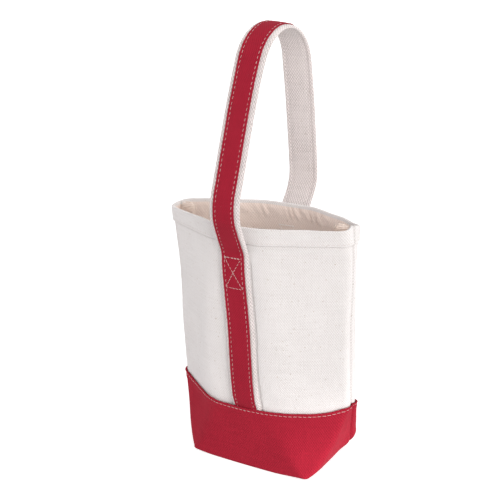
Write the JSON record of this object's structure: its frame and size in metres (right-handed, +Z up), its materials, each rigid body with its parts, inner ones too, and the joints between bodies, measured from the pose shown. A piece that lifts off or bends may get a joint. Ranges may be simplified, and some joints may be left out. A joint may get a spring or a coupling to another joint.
{
  "type": "bottle carrier",
  "caption": "Soft canvas bottle tote with a contrasting boot round its base and a long trimmed strap that runs up both faces and over the mouth as a handle.",
  "frame": {"origin": "middle of the base, on the surface that the bag stands on", "axes": "+Z up to the handle, +Y from the front face to the back face, +X along the width to the right side seam"},
  "size_m": [0.2296, 0.1658, 0.4867],
  "materials": {
    "natural_canvas": "undyed heavy cotton twill",
    "red_canvas": "dyed red cotton canvas"
  },
  "bodies": {
    "bag": {"front_panel": "natural_canvas", "back_panel": "natural_canvas", "left_side_seam": "natural_canvas", "right_side_seam": "natural_canvas", "front_strap": "natural_canvas", "back_strap": "natural_canvas", "front_strap_bend": "natural_canvas", "back_strap_bend": "natural_canvas", "boot": "red_canvas", "front_trim": "red_canvas", "back_trim": "red_canvas", "front_trim_bend": "red_canvas", "back_trim_bend": "red_canvas"},
    "handle": {"handle_strap": "natural_canvas", "handle_trim": "red_canvas"}
  },
  "joints": [
    {"name": "handle_swing", "type": "hinge", "parent": "bag", "child": "handle", "pos_m": [0, 0, 0.27], "axis": [0, 1, 0], "range_deg": [-100, 100], "deforming": ["front_strap_bend", "back_strap_bend", "front_trim_bend", "back_trim_bend"]}
  ]
}
